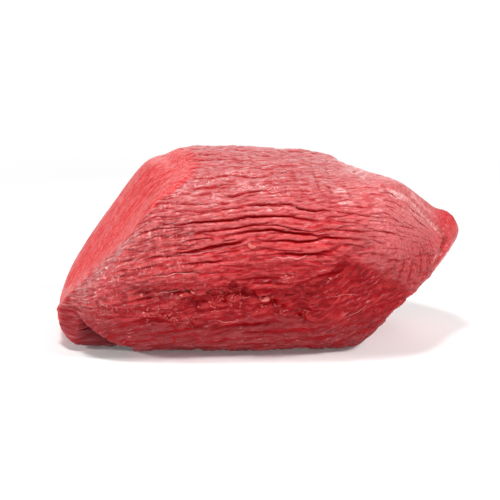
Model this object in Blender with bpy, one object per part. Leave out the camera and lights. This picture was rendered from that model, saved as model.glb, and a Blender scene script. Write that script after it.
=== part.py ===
"""Raw beef baby top: the trimmed heart muscle of the rump, as one solid resting on its own flat underside.

The muscle is a closed body whose grain runs along X, from the blunt left end to the pointed right tip.
It stands in metres with +Z up, -Y towards the viewer, and its underside on z = 0.
"""
import bpy
import bmesh
import numpy as np
from math import radians, sin, cos

# Overall size and mesh density, in metres and counts.
LENGTH = 0.240                  # along the grain, tip to lobe
CORE_Z = 0.056                  # height of the middle of the muscle above the untrimmed underside
MEAN_RADIUS = 0.062             # of the muscle's section, to turn degrees round it into a width
SAG = 0.0017                    # how far the soft underside settles into one flat patch
STEPS_ROUND = 100
STEPS_ALONG = 48
CROWD = 0.50                    # how strongly the mesh lines crowd together on the front and top
CROWD_AT = 35.0                 # where they are closest, degrees up from the front
EVEN = 0.6                      # 0 is even in angle, 1 is even in distance along the grain
FARTHEST = 0.2                  # no ray is longer than this before it leaves the muscle
HALVINGS = 36                   # steps in the search along each ray

# Trimmed faces: turn in plan (0 faces the viewer, + to the right), tilt (+ up), distance from the middle.
SOFT_FACES = {
    "top":         (22, 84, 0.0545),
    "top_back":    (178, 62, 0.0610),
    "top_front":   (-5, 52, 0.0660),
    "front":       (-2, 0, 0.0650),
    "front_low":   (3, -35, 0.0650),
    "front_left":  (-46, -12, 0.1080),
    "front_right": (52, 12, 0.0950),
    "right_top":   (127, 56, 0.0626),
    "right_end":   (97, 16, 0.1380),
    "back_right":  (140, -10, 0.0920),
    "left_end":    (-92, -6, 0.1270),
    "left_back":   (-104, 36, 0.0900),
    "back":        (180, 5, 0.0680),
    "back_low":    (176, -40, 0.0700),
    "base":        (0, -90, 0.0560),
}
CRISP_FACES = {
    "left_cut":    (-77, 36, 0.0770),
    "left_top":    (-70, 62, 0.0695),
    "belly_right": (15, -24, 0.0676),
    "right_low":   (72, -42, 0.0838),
    "tip_low":     (92, -26, 0.1060),
}
SOFT = 14.0                     # rounding of the edges between the soft faces, the higher the crisper
CRISP = 34.0                    # the same for the edges a knife left

# Middle line of the grain: half length, slope and arch, and how far it lies below the middle of the muscle.
SPINE_HALF = 0.070
SPINE_RISE = 0.10
SPINE_ARCH = 1.2
SPINE_DROP = 0.004

# Slow unevenness: its height, its wave lengths along the grain and how many waves go round.
LUMP_HEIGHT = 0.0008
LUMP_WAVES = (0.06, 0.13)
LUMP_TURNS = (2, 3, 4, 5, 6, 7, 9, 11, 13)
LUMP_FADE = 0.4
LUMP_SEED = 11

# Splits between the fibres: from x, to x (mm), degrees up from the front, depth (mm).
SPLITS = [
    (-34, -18, 64, 1.4), (-31, 5, 55, 2.2), (-40, -11, 48, 1.8), (-22, 2, 42.5, 1.5),
    (-41, -19, 35, 2.0), (-11, 42, 33, 2.2), (-58, 34, 29.5, 2.6), (38, 78, 28.3, 1.5),
    (-43, 10, 25.8, 2.3), (-19, 42, 21.8, 3.0), (31, 88, 21, 1.5), (-50, -6, 18.5, 3.0),
    (-4, 55, 17.7, 2.6), (7, 44, 12, 2.6), (42, 66, 14.7, 1.6), (-44, -17, 12, 1.6),
    (-61, -31, 8.8, 1.2), (-59, -35, 0, 1.0),
]
SPLIT_HALF_WIDTH = 0.0016

# Longer features that cross the grain, as paths in mm.
SEAM = [
    (44, 14, 108), (52, -18, 105), (55, -35, 104), (62, -46, 101), (75, -45, 95), (85, -37, 88),
    (94, -29, 79), (101, -22, 70), (107, -18, 62), (104, -24, 58), (98, -33, 54),
]
SEAM_BACK = [(57, 30, 106), (60, -2, 107)]
STRIP = [(58, -2, 108), (76, -18, 101), (96, -10, 88), (112, 2, 72)]
TIP = [(109, -2, 77), (118, -4, 70)]
SHOULDER = [(24, 22, 109), (41, 8, 108)]
TROUGH = [(38, -20, 108), (41, -40, 104), (40, -54, 98)]
RIM = [(-44, -46, 99), (-37, -15, 108), (-38, 20, 110)]
LOBE = [(-114, -14, 20), (-104, -34, 12), (-90, -42, 4)]
HOLLOW = [(-101, -42, 15), (-95, -44, 10), (-88, -45, 6), (-79, -45, 2)]
LEDGE = [(-66, -58, 43), (-49, -60, 41), (-27, -62, 42), (-8, -62, 42), (7, -62, 40), (28, -62, 44)]
VALLEY = [
    (59, -65, 73), (52, -66, 70), (46, -66, 65), (40, -65, 59), (32, -64, 52), (26, -62, 42), (25, -59, 35),
]
UNDER_LOBE = [(33, -62, 38), (38, -60, 30)]

# Each path with its depth in mm, - for raised, and its half width in mm.
CROSSINGS = [
    (SEAM_BACK, 2.2, 5.0), (SEAM, 2.6, 3.4), (STRIP, -1.2, 8.0), (TIP, -6.0, 8.0), (SHOULDER, -2.6, 8.0),
    (TROUGH, 1.0, 4.5), (RIM, -0.8, 5.0), (LOBE, -3.2, 9.0), (HOLLOW, 9.0, 6.0), (LEDGE, 2.0, 7.0),
    (VALLEY, 2.6, 5.5), (UNDER_LOBE, -2.4, 10.0),
]


def facing(turn, tilt):
    """Unit vector a trimmed face points along."""
    a = radians(turn)
    e = radians(tilt)
    return np.array([sin(a) * cos(e), -cos(a) * cos(e), sin(e)])


def rounded_hull(offset, faces, power):
    """Smooth stand-in for the largest of the offsets measured against each face, 1 on the hull."""
    total = np.zeros(offset.shape[:-1])
    for turn, tilt, far in faces.values():
        total = total + np.maximum(offset @ facing(turn, tilt) / far, 0.0) ** power
    return total ** (1.0 / power)


def gauge(points):
    """1 on the muscle's surface, less inside it."""
    offset = points - np.array([0.0, 0.0, CORE_Z])
    muscle = rounded_hull(offset, SOFT_FACES, SOFT)
    cut = rounded_hull(offset, CRISP_FACES, CRISP)
    return (muscle ** CRISP + cut ** CRISP) ** (1.0 / CRISP)


def rays(along, around):
    """Start and direction of the ray for each pair of angles: it leaves the arched middle line of the grain.

    along runs from 0 at the right tip to pi at the left end, around is 0 at the front and pi/2 at the top.
    """
    x = SPINE_HALF * np.cos(along)
    slope = SPINE_RISE - 2 * SPINE_ARCH * x
    start = np.stack([x, 0 * x, CORE_Z - SPINE_DROP + SPINE_RISE * x - SPINE_ARCH * x * x], -1)
    grain = np.stack([1 + 0 * x, 0 * x, slope], -1)
    grain = grain / np.linalg.norm(grain, axis=-1, keepdims=True)
    front = np.array([0.0, -1.0, 0.0])
    up = np.cross(front, grain)
    across = np.cos(around)[:, None] * front + np.sin(around)[:, None] * up
    return start, np.cos(along)[:, None] * grain + np.sin(along)[:, None] * across


def reach(start, direction):
    """Distance along each ray at which the gauge is 1, by halving."""
    low = np.zeros(len(start))
    high = np.full(len(start), FARTHEST)
    for _ in range(HALVINGS):
        middle = (low + high) / 2
        inside = gauge(start + middle[:, None] * direction) < 1
        low = np.where(inside, middle, low)
        high = np.where(inside, high, middle)
    return low


def distance_to_path(points, path):
    """Shortest distance from each point to a path of straight pieces given in millimetres."""
    corners = np.array(path, float) / 1000
    best = np.full(len(points), 1.0)
    for a, b in zip(corners[:-1], corners[1:]):
        run = b - a
        share = np.clip((points - a) @ run / (run @ run), 0, 1)
        best = np.minimum(best, np.linalg.norm(points - a - share[:, None] * run, axis=1))
    return best


def lumps(points, along, around):
    """Slow unevenness of the trimmed muscle: waves stretched along the grain, dying out towards the ends."""
    x = points[:, 0]
    waves = np.random.default_rng(LUMP_SEED)
    total = np.zeros(len(points))
    for turns in LUMP_TURNS:
        length = waves.uniform(*LUMP_WAVES)
        shift = waves.uniform(0, 2 * np.pi, 2)
        wave = np.sin(2 * np.pi * x / length + shift[0]) * np.sin(turns * around + shift[1])
        total = total + wave / turns ** LUMP_FADE
    return total * LUMP_HEIGHT * np.sin(along) ** 2


def splits(points, around, rows):
    """Depth of the fissures that open along the grain; each follows the mesh line nearest to it."""
    x = points[:, 0] * 1000
    depth = np.zeros(len(points))
    for x_from, x_to, degrees, deep in SPLITS:
        line = rows[np.argmin(np.abs(rows - radians(degrees)))]
        across = (around - line) * MEAN_RADIUS / SPLIT_HALF_WIDTH
        middle = (x_from + x_to) / 2
        half = (x_to - x_from) / 2
        taper = np.clip(1 - np.abs((x - middle) / half) ** 3, 0, 1)
        depth = np.maximum(depth, deep / 1000 * taper * np.exp(-across ** 2))
    return depth


def relief(points, along, around, rows):
    """How far each surface point moves out along its ray."""
    out = lumps(points, along, around) - splits(points, around, rows)
    for path, deep, half_width in CROSSINGS:
        out = out - deep / 1000 * np.exp(-(distance_to_path(points, path) * 1000 / half_width) ** 2)
    return out


def muscle_mesh():
    """A ball with its poles on the grain, every vertex moved out to the muscle's surface."""
    ball = bmesh.new()
    bmesh.ops.create_uvsphere(ball, u_segments=STEPS_ROUND, v_segments=STEPS_ALONG, radius=1.0)
    unit = np.array([v.co[:] for v in ball.verts])
    step = 2 * np.pi / STEPS_ROUND
    lap = np.round(np.arctan2(unit[:, 1], unit[:, 0]) / step) * step
    share = np.arccos(np.clip(unit[:, 2], -1, 1)) / np.pi
    closest = radians(CROWD_AT)

    def crowded(angle):
        return angle - CROWD * np.sin(angle - closest)

    rows = crowded(np.arange(-STEPS_ROUND // 2, STEPS_ROUND // 2 + 1) * step)
    around = crowded(lap)
    along = np.arccos(np.clip((1 - EVEN) * np.cos(np.pi * share) + EVEN * (1 - 2 * share), -1, 1))
    start, direction = rays(along, around)
    length = reach(start, direction)
    surface = start + length[:, None] * direction
    surface = surface + relief(surface, along, around, rows)[:, None] * direction

    low, high = surface.min(0), surface.max(0)
    scale = LENGTH / (high[0] - low[0])
    surface = (surface - [(low[0] + high[0]) / 2, (low[1] + high[1]) / 2, low[2]]) * scale
    surface[:, 2] = np.maximum(surface[:, 2] - SAG, 0.0)
    for vertex, place in zip(ball.verts, surface):
        vertex.co = place
    if ball.calc_volume(signed=True) < 0:
        bmesh.ops.reverse_faces(ball, faces=ball.faces)
    mesh = bpy.data.meshes.new("baby_top")
    ball.to_mesh(mesh)
    ball.free()
    mesh.polygons.foreach_set("use_smooth", [True] * len(mesh.polygons))
    return mesh


def beef_material():
    """Lean raw beef: deep red, moist, with the grain showing as a slight change of tone."""
    material = bpy.data.materials.new("lean_beef")
    material.use_nodes = True
    nodes = material.node_tree.nodes
    links = material.node_tree.links
    shader = nodes["Principled BSDF"]
    shader.inputs["Roughness"].default_value = 0.42
    where = nodes.new("ShaderNodeTexCoord")
    stretch = nodes.new("ShaderNodeMapping")
    stretch.inputs["Scale"].default_value = (25.0, 320.0, 320.0)
    grain = nodes.new("ShaderNodeTexNoise")
    grain.inputs["Scale"].default_value = 1.0
    tone = nodes.new("ShaderNodeValToRGB")
    tone.color_ramp.elements[0].position = 0.30
    tone.color_ramp.elements[0].color = (0.30, 0.035, 0.035, 1)
    tone.color_ramp.elements[1].position = 0.75
    tone.color_ramp.elements[1].color = (0.62, 0.14, 0.14, 1)
    links.new(where.outputs["Object"], stretch.inputs["Vector"])
    links.new(stretch.outputs["Vector"], grain.inputs["Vector"])
    links.new(grain.outputs["Fac"], tone.inputs["Fac"])
    links.new(tone.outputs["Color"], shader.inputs["Base Color"])
    return material


for thing in list(bpy.data.objects):
    bpy.data.objects.remove(thing, do_unlink=True)

meat = bpy.data.collections.new("beef_baby_top")
bpy.context.scene.collection.children.link(meat)
baby_top = bpy.data.objects.new("baby_top", muscle_mesh())
baby_top.data.materials.append(beef_material())
meat.objects.link(baby_top)
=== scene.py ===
"""Raw beef baby top as it lies in the photograph, on a pale studio floor.

The trimmed muscle has its grain, splits and knife-cut end. Torn fibres, threads of silverskin and small
flecks of fat cling to it."""
from math import cos, radians, sin

import bpy
import numpy as np
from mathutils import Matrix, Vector


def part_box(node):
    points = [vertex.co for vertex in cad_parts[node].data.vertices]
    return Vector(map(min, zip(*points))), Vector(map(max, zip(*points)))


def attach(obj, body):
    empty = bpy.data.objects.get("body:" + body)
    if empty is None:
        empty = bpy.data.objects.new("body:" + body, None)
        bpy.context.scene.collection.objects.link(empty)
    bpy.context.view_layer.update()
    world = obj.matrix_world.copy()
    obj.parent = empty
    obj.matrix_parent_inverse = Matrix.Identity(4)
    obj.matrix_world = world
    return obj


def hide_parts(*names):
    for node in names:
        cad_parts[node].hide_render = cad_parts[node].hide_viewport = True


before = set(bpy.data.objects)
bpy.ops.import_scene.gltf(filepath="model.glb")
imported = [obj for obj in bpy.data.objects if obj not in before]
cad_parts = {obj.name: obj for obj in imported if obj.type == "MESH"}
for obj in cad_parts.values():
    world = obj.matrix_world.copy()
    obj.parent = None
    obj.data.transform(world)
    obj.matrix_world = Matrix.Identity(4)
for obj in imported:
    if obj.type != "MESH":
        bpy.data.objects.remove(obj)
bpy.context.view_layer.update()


def placed(name, data):
    """A new object of a mesh, lamp or camera, put in the scene."""
    thing = bpy.data.objects.new(name, data)
    bpy.context.scene.collection.objects.link(thing)
    return thing


# The camera looks a little down on the meat from the front, with the long lens of a product photograph.
# It is placed from the object's own box, so the meat fills the frame as it does in the photograph.
LOW, HIGH = (np.array(corner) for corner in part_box("baby_top"))
LENS_MM = 85.0
SENSOR_MM = 36.0
LOOK_DOWN = radians(15.0)
PHOTO_PX = 500
MEAT_PX = 401
AIM_LEFT = 0.0037
AIM_DROP = 0.0051
VIEW_LIMIT = 30.0
SHOWN_LENGTH = (HIGH[0] - LOW[0]) * PHOTO_PX / MEAT_PX
AIM = Vector((-AIM_LEFT, 0.0, (LOW[2] + HIGH[2]) / 2 - AIM_DROP))

camera = placed("studio_camera", bpy.data.cameras.new("studio_camera"))
camera.data.lens = LENS_MM
camera.data.sensor_width = SENSOR_MM
camera.data.clip_end = VIEW_LIMIT
view_direction = Vector((0.0, cos(LOOK_DOWN), -sin(LOOK_DOWN)))
camera.location = AIM - view_direction * (SHOWN_LENGTH * LENS_MM / SENSOR_MM)
camera.rotation_euler = view_direction.to_track_quat("-Z", "Y").to_euler()
bpy.context.scene.camera = camera

# The studio is a wide pale floor under an overhead softbox, with panels behind and at both sides and a
# small lamp low at the front for the wet glints. The floor glows more the farther it lies from the meat,
# so that it stays as pale there as it is near the lamps.
FLOOR_HALF = 9.0
FLOOR_WHITE = (0.93, 0.93, 0.93, 1.0)
FLOOR_ROUGHNESS = 0.85
GLOW_RANGE = (0.5, 1.7, 0.08, 0.98)
AIR_GLOW = 0.16
MEAT_MIDDLE = (0.0, 0.0, 0.06)
MEAT_FRONT_LEFT = (-0.05, 0.0, 0.05)


def plain_grid(name, corners):
    """One flat face through four corners, as a mesh object of its own."""
    mesh = bpy.data.meshes.new(name)
    mesh.from_pydata(corners, [], [(0, 1, 2, 3)])
    return placed(name, mesh)


def shader_material(name):
    """A new material with its Principled shader, node list and link list."""
    material = bpy.data.materials.new(name)
    material.use_nodes = True
    tree = material.node_tree
    return material, tree.nodes["Principled BSDF"], tree.nodes, tree.links


def spread(nodes, links, value, *ranges):
    """A value moved from one range to another and held inside it: from low, from high, to low, to high."""
    fit = nodes.new("ShaderNodeMapRange")
    for socket, limit in zip(("From Min", "From Max", "To Min", "To Max"), ranges):
        fit.inputs[socket].default_value = limit
    links.new(value, fit.inputs["Value"])
    return fit.outputs["Result"]


floor = plain_grid("studio_floor", [(-FLOOR_HALF, -FLOOR_HALF, 0), (FLOOR_HALF, -FLOOR_HALF, 0),
                                    (FLOOR_HALF, FLOOR_HALF, 0), (-FLOOR_HALF, FLOOR_HALF, 0)])
floor_paint, shader, nodes, links = shader_material("pale_floor")
shader.inputs["Base Color"].default_value = FLOOR_WHITE
shader.inputs["Roughness"].default_value = FLOOR_ROUGHNESS
shader.inputs["Emission Color"].default_value = (1.0, 1.0, 1.0, 1.0)
from_centre = nodes.new("ShaderNodeVectorMath")
from_centre.operation = "LENGTH"
links.new(nodes.new("ShaderNodeTexCoord").outputs["Object"], from_centre.inputs[0])
glow = spread(nodes, links, from_centre.outputs["Value"], *GLOW_RANGE)
links.new(glow, shader.inputs["Emission Strength"])
floor.data.materials.append(floor_paint)

world = bpy.data.worlds.new("studio_air")
world.use_nodes = True
air = world.node_tree.nodes["Background"]
air.inputs["Color"].default_value = (1.0, 1.0, 1.0, 1.0)
air.inputs["Strength"].default_value = AIR_GLOW
bpy.context.scene.world = world
bpy.context.scene.view_settings.view_transform = "Standard"


def softbox(name, place, aim, size, watts):
    """A square area light of the given size in metres, turned from its place towards a point."""
    lamp = bpy.data.lights.new(name, "AREA")
    lamp.shape = "SQUARE"
    lamp.size = size
    lamp.energy = watts
    thing = placed(name, lamp)
    thing.location = place
    thing.rotation_euler = (Vector(aim) - Vector(place)).to_track_quat("-Z", "Y").to_euler()


softbox("overhead_softbox", (-0.12, -0.25, 1.00), MEAT_MIDDLE, 0.20, 6.0)
softbox("back_panel", (0.0, 1.70, 0.75), MEAT_MIDDLE, 1.4, 9.0)
softbox("left_panel", (-1.0, -0.28, 0.42), MEAT_MIDDLE, 0.16, 5.3)
softbox("right_panel", (0.85, -0.42, 0.82), MEAT_MIDDLE, 0.28, 11.0)
softbox("glint_lamp", (-0.36, -0.82, 0.18), MEAT_FRONT_LEFT, 0.06, 1.0)

# The baby top is the trimmed heart muscle of the rump: lean beef whose grain runs from end to end.
# A knife has cut its left end flat, the front has split along the grain in drying, and the underside
# is torn where it was pulled from its neighbours.
LENGTH = HIGH[0] - LOW[0]
CORE_Z = 0.056
SAG = 0.0017
FACES = {
    "top":         (22, 84, 0.0545),
    "top_back":    (178, 62, 0.0610),
    "top_front":   (-5, 52, 0.0660),
    "front":       (-2, 0, 0.0650),
    "front_low":   (3, -35, 0.0650),
    "front_left":  (-46, -12, 0.1080),
    "front_right": (52, 12, 0.0950),
    "right_top":   (127, 56, 0.0626),
    "right_end":   (97, 16, 0.1380),
    "back_right":  (140, -10, 0.0920),
    "left_end":    (-92, -6, 0.1270),
    "left_back":   (-104, 36, 0.0900),
    "back":        (180, 5, 0.0680),
    "back_low":    (176, -40, 0.0700),
    "base":        (0, -90, 0.0560),
}
CRISP_FACES = {
    "left_cut":    (-77, 36, 0.0770),
    "left_top":    (-70, 62, 0.0686),
    "right_low":   (72, -42, 0.0838),
    "tip_low":     (92, -26, 0.1060),
    "belly_right": (15, -24, 0.0676),
}
SOFT = 14.0
CRISP = 34.0
SPINE_HALF = 0.070
SPINE_RISE = 0.10
SPINE_ARCH = 1.2
SPINE_DROP = 0.004
RAY_REACH = 0.2
HALVINGS = 34
STATIONS = 236
RING = 420
CROWD = 0.60
CROWD_AT = radians(28.0)
EVEN = 0.6


def facing(turn, tilt):
    """Unit vector along a face's normal: turn in plan from the viewer's side, tilt up from level."""
    a = radians(turn)
    e = radians(tilt)
    return np.array([sin(a) * cos(e), -cos(a) * cos(e), sin(e)])


def rounded_hull(offset, faces, power):
    """The hull is the power mean of the offset along each face's normal over the face's distance."""
    total = np.zeros(offset.shape[:-1])
    for turn, tilt, far in faces.values():
        total = total + np.maximum(offset @ facing(turn, tilt) / far, 0.0) ** power
    return total ** (1.0 / power)


def gauges(points):
    """The trimmed muscle's gauge and the knife cut's, each 1 on its own surface and less inside."""
    offset = points - np.array([0.0, 0.0, CORE_Z])
    return rounded_hull(offset, FACES, SOFT), rounded_hull(offset, CRISP_FACES, CRISP)


def body_grid():
    """Rays leave an arched middle line and reach the surface where the joined gauge is 1, found by halving.

    Rows run from the right tip to the left end and columns go round, 0 at the front and a quarter turn
    at the top. Returns the places, the ray directions and the two angles.
    """
    share = np.linspace(0, 1, STATIONS + 1)
    along = np.arccos(np.clip((1 - EVEN) * np.cos(np.pi * share) + EVEN * (1 - 2 * share), -1, 1))
    even_turn = np.linspace(-np.pi, np.pi, RING, endpoint=False)
    around = even_turn - CROWD * np.sin(even_turn - CROWD_AT)
    x = SPINE_HALF * np.cos(along)
    start = np.stack([x, 0 * x, CORE_Z - SPINE_DROP + SPINE_RISE * x - SPINE_ARCH * x * x], -1)
    slope = SPINE_RISE - 2 * SPINE_ARCH * x
    grain = np.stack([1 + 0 * x, 0 * x, slope], -1)
    grain = grain / np.linalg.norm(grain, axis=-1, keepdims=True)
    front = np.array([0.0, -1.0, 0.0])
    up = np.cross(front, grain)
    across = np.cos(around)[None, :, None] * front + np.sin(around)[None, :, None] * up[:, None, :]
    ray = np.cos(along)[:, None, None] * grain[:, None, :] + np.sin(along)[:, None, None] * across
    origin = np.broadcast_to(start[:, None, :], ray.shape)
    low = np.zeros(ray.shape[:2])
    high = np.full(ray.shape[:2], RAY_REACH)
    for _ in range(HALVINGS):
        middle = (low + high) / 2
        muscle, cut = gauges(origin + middle[..., None] * ray)
        inside = muscle ** CRISP + cut ** CRISP < 1
        low = np.where(inside, middle, low)
        high = np.where(inside, high, middle)
    return origin + low[..., None] * ray, ray, along, around


NOISE_VALUES = 4096
NOISE_PRIMES = (73856093, 19349663, 83492791)


def lattice_noise(places, cell, seed):
    """Smooth noise from -1 to 1: random values on a lattice of the given cell, blended by smooth steps."""
    table = np.random.default_rng(seed).uniform(-1, 1, NOISE_VALUES)
    q = places / np.array(cell)
    base = np.floor(q).astype(np.int64)
    f = q - base
    f = f * f * f * (f * (f * 6 - 15) + 10)
    total = np.zeros(places.shape[:-1])
    for dx in (0, 1):
        for dy in (0, 1):
            for dz in (0, 1):
                corner = base + np.array([dx, dy, dz])
                scattered = corner * np.array(NOISE_PRIMES)
                key = scattered[..., 0] ^ scattered[..., 1] ^ scattered[..., 2]
                share = np.where([dx, dy, dz], f, 1 - f).prod(-1)
                total = total + table[np.mod(key, NOISE_VALUES)] * share
    return total


def smooth_step(value, low, high):
    """0 below low, 1 above high, and an S-shaped rise between."""
    t = np.clip((value - low) / (high - low), 0, 1)
    return t * t * (3 - 2 * t)


def bell(distance, reach):
    """1 at no distance, falling smoothly to about a third at the reach and to nothing beyond."""
    return np.exp(-(distance / reach) ** 2)


def near_path(points, path):
    """Distance in mm from each point to a path of straight pieces, and the share of the path gone by."""
    corners = np.array(path, float)
    best = np.full(points.shape[:-1], 1e9)
    gone = np.zeros(points.shape[:-1])
    place = points * 1000
    count = len(corners) - 1
    for k in range(count):
        run = corners[k + 1] - corners[k]
        share = np.clip((place - corners[k]) @ run / (run @ run), 0, 1)
        distance = np.linalg.norm(place - corners[k] - share[..., None] * run, axis=-1)
        closer = distance < best
        best = np.where(closer, distance, best)
        gone = np.where(closer, (k + share) / count, gone)
    return best, gone


def outward(points, ray):
    """Unit normals from the grid's own slopes along and round, with the ray's direction at the two ends."""
    down = np.gradient(points, axis=0)
    beside = np.roll(points, -1, 1) - np.roll(points, 1, 1)
    normal = np.cross(beside, down)
    size = np.linalg.norm(normal, axis=-1, keepdims=True)
    normal = normal / np.maximum(size, 1e-12)
    normal = np.where((normal * ray).sum(-1, keepdims=True) < 0, -normal, normal)
    normal[0] = ray[0]
    normal[-1] = ray[-1]
    return normal


# Longer features that cross the grain, as paths in mm on the untrimmed form.
SEAM = [(44, 14, 108), (49, -5, 105), (55, -24, 105), (60, -40, 102), (66, -48, 98), (75, -45, 95),
        (82, -38, 92), (89, -32, 86), (93, -28, 81), (100, -22, 74), (105, -18, 68), (109, -15, 61),
        (106, -21, 56), (100, -30, 52)]
SEAM_BACK = [(57, 30, 106), (60, -2, 107)]
STRIP = [(58, -14, 106), (76, -30, 100), (92, -18, 88), (108, -6, 72)]
LOBE = [(-112, -22, 22), (-112, -28, 14), (-108, -32, 7)]
CORNER = [(-60, 30, 106), (-52, -5, 109)]
UNDER_LOBE = [(39, -57, 37), (34, -55, 29)]
RIM = [(-44, -46, 99), (-37, -15, 108), (-38, 20, 110)]
TIP = [(109, -2, 77), (118, -4, 70)]
SHOULDER = [(24, 22, 109), (41, 8, 108)]
TROUGH = [(38, -20, 108), (41, -40, 104), (40, -54, 98)]
HOLE = [(109, -15, 60), (107, -20, 57)]
VALLEY = [(59, -65, 73), (52, -66, 70), (46, -66, 65), (40, -65, 59), (32, -64, 52), (26, -62, 42),
          (25, -59, 35), (27, -53, 24)]
RECESS = [(20, -62, 40), (22, -60, 32)]
LEFT_RIDGE = [(-38, -52, 92), (-42, -54, 86), (-47, -53, 82), (-57, -53, 76), (-70, -52, 66),
              (-84, -48, 53), (-97, -42, 40)]
FAT_PATCH = [(45, -51, 100), (48, -57, 96)]
CREASES = [[(28, -16, 108), (30, -37, 105), (32, -51, 100)], [(37, -7, 107), (38, -36, 105), (39, -55, 98)],
           [(44, -19, 106), (46, -43, 103), (48, -56, 97)]]
# Each path with how deep it presses in, or bulges out where the number is below nothing, and its half
# width, both in mm.
CROSSINGS = [
    (SEAM_BACK, 2.2, 5.0),
    (SEAM, 2.6, 2.6),
    (STRIP, -1.4, 6.0),
    (LOBE, -5.0, 8.0),
    (CORNER, 1.8, 7.0),
    (UNDER_LOBE, -2.6, 9.0),
    (RIM, -0.8, 5.0),
    (TIP, -6.5, 8.0),
    (SHOULDER, -3.0, 8.0),
    (TROUGH, 1.0, 4.5),
    (HOLE, 6.0, 2.2),
    (VALLEY, 2.4, 2.2),
    (RECESS, 2.6, 5.0),
]
CREASE_DEEP = 0.60
CREASE_HALF = 0.9
# Where the knife-cut face ends, as x in mm for degrees up from the front.
CUT_EDGE_DEGREES = [-3, 8, 17, 23.5, 29.5, 31.5, 33, 36.5, 40, 44.5,
                    46.5, 51, 58, 73, 86, 101, 125, 150, 180, 210]
CUT_EDGE_X = [-113, -110, -103, -95, -88, -79, -71, -65.5, -59, -55,
              -47, -42.5, -38, -38, -40, -44, -56, -72, -90, -112]
# Steps in the front: x and height of the edge, how far the surface drops below it, and over what distance
# it comes back.
FOLD_X = [-106, -101.2, -98.4, -93.4, -87.6, -84.5, -78.6, -75.5]
FOLD_HEIGHT = [26, 22.5, 20, 18, 15.5, 12.7, 9.8, 8]
FOLD_DROP = 13.0
FOLD_BACK = 12.0
LEDGE_X = [-71, -60, -49, -39, -27, -16, -7, -1, 7, 20, 32, 40]
LEDGE_HEIGHT = [49.5, 47.3, 46, 46.3, 46.7, 49.8, 47.7, 42, 45, 47.5, 50, 55]
LEDGE_DROP = 3.8
LEDGE_BACK = 10.0
LOW_LEDGE_X = [-62, -51, -34, -18, -7, 16, 28]
LOW_LEDGE_HEIGHT = [24, 25, 27.3, 25, 27, 28.7, 27]
LOW_LEDGE_DROP = 2.2
LOW_LEDGE_BACK = 6.0
FACE_EDGE_X = [38, 45, 54, 62, 69, 77, 82, 96, 112]
FACE_EDGE_HEIGHT = [64, 63, 62, 57, 51, 46, 41, 26, 8]
UNDER_SLOPE = radians(38)

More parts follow.
